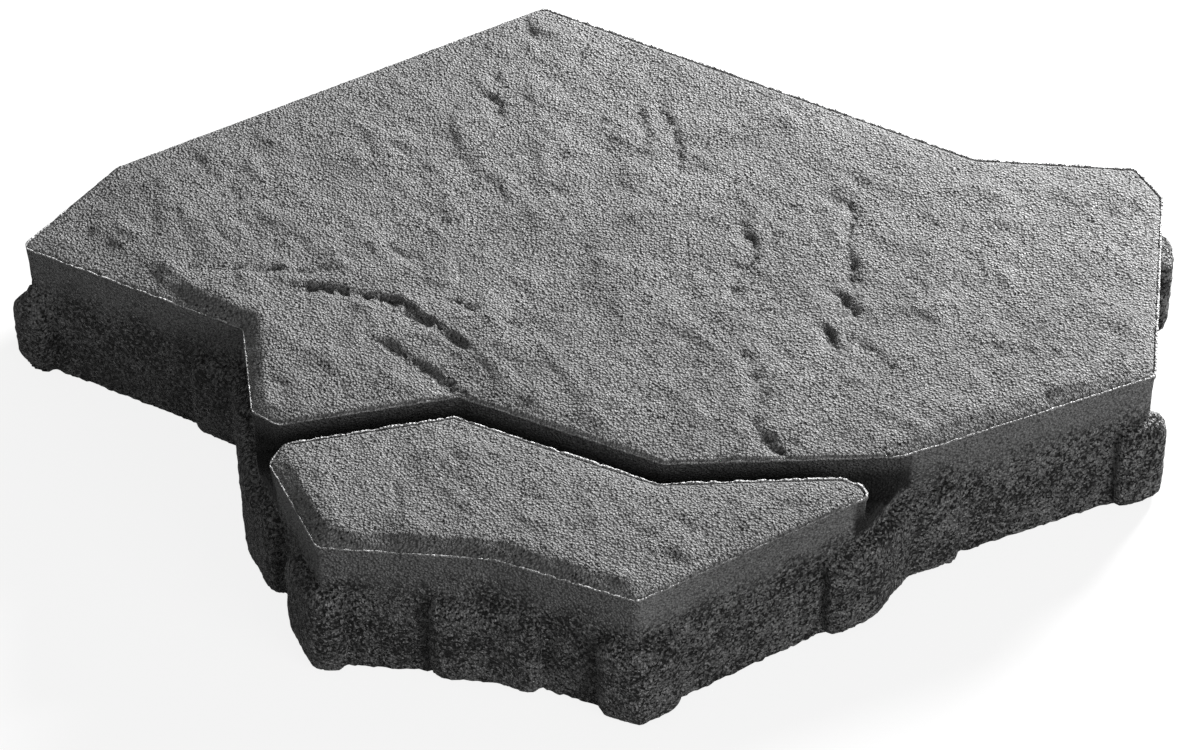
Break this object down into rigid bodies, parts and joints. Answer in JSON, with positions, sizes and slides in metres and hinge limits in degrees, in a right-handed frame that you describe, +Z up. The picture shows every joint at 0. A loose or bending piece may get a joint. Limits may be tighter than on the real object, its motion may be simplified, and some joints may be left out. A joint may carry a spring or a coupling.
{
  "type": "concrete paving stone",
  "caption": "Irregular cast concrete paving stone with a cleft top, a false joint that parts it into a large and a small flag, and spacer lugs on its corners.",
  "frame": {"origin": "middle of the stone's box, on its underside", "axes": "+Z up out of the flags, +X along the stone's longest side, from its left tip to its right end, -Y towards the small flag"},
  "size_m": [0.5494, 0.4212, 0.078],
  "materials": {
    "concrete": "rough cast grey concrete"
  },
  "bodies": {
    "root": {"paving_stone": "concrete"}
  },
  "joints": []
}
